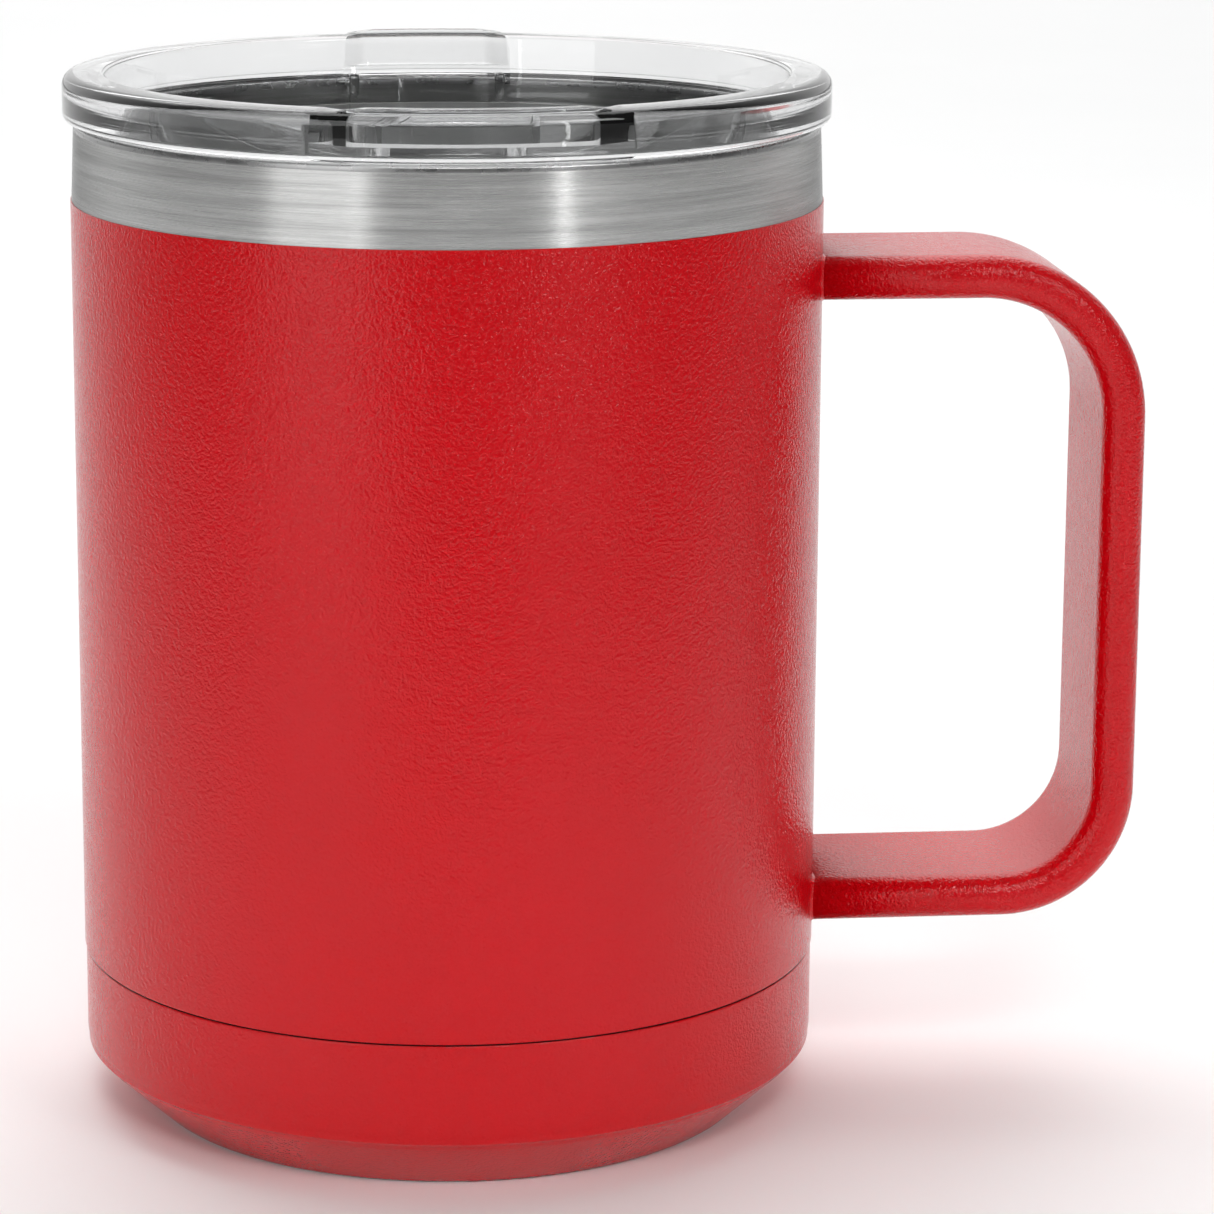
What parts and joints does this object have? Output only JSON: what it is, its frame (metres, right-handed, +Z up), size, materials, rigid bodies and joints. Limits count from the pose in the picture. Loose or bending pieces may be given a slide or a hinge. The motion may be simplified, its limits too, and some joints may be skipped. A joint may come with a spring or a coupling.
{
  "type": "insulated travel mug",
  "caption": "Double-walled steel travel mug with a red coated body, bare steel rim, hollow strap handle and clear press-in lid with a slider.",
  "frame": {"origin": "centre of the foot, on the surface that the mug stands on", "axes": "+Z up the cup, +X out through the handle, Y along the slider of the lid; the drinking opening is on the -Y side"},
  "size_m": [0.1237, 0.0874, 0.1213],
  "materials": {
    "brushed_steel": "brushed round the cup, satin",
    "liner_steel": "electropolished with fine drawing lines",
    "lip_steel": "polished weld",
    "bare_steel": "mill finish",
    "cover_steel": "spun satin",
    "clip_steel": "mill finish",
    "powder_coat": "red powder coat with a fine orange-peel texture",
    "copper": "plain copper foil",
    "getter": "pressed metal powder",
    "solder": "dull solder",
    "clear_plastic": "clear moulded copolyester, glossy",
    "slider_plastic": "clear moulded copolyester, glossy",
    "silicone": "translucent silicone"
  },
  "bodies": {
    "mug": {"outer_shell": "brushed_steel", "base_cup": "bare_steel", "bottom_cover": "cover_steel", "seal_bead": "solder", "inner_liner": "liner_steel", "liner_bottom": "liner_steel", "rim_weld": "lip_steel", "copper_foil": "copper", "getter_pellet": "getter", "getter_clip": "clip_steel", "handle_outer_half": "bare_steel", "handle_inner_half": "bare_steel", "handle_weld_top": "powder_coat", "handle_weld_bottom": "powder_coat", "coat_body": "powder_coat", "coat_base": "powder_coat", "coat_handle": "powder_coat"},
    "gasket": {"lid_gasket": "silicone"},
    "lid": {"lid_body": "clear_plastic"},
    "slider": {"slider": "slider_plastic", "slider_seal": "silicone"}
  },
  "joints": [
    {"name": "lid_lift", "type": "slide", "parent": "mug", "child": "gasket", "axis": [0, 0, 1], "range_m": [0, 0.03]},
    {"name": "lid_turn", "type": "hinge", "parent": "gasket", "child": "lid", "pos_m": [0, 0, 0.111], "axis": [0, 0, 1], "continuous": true},
    {"name": "slider_slide", "type": "slide", "parent": "lid", "child": "slider", "axis": [0, 1, 0], "range_m": [0, 0.012]}
  ]
}
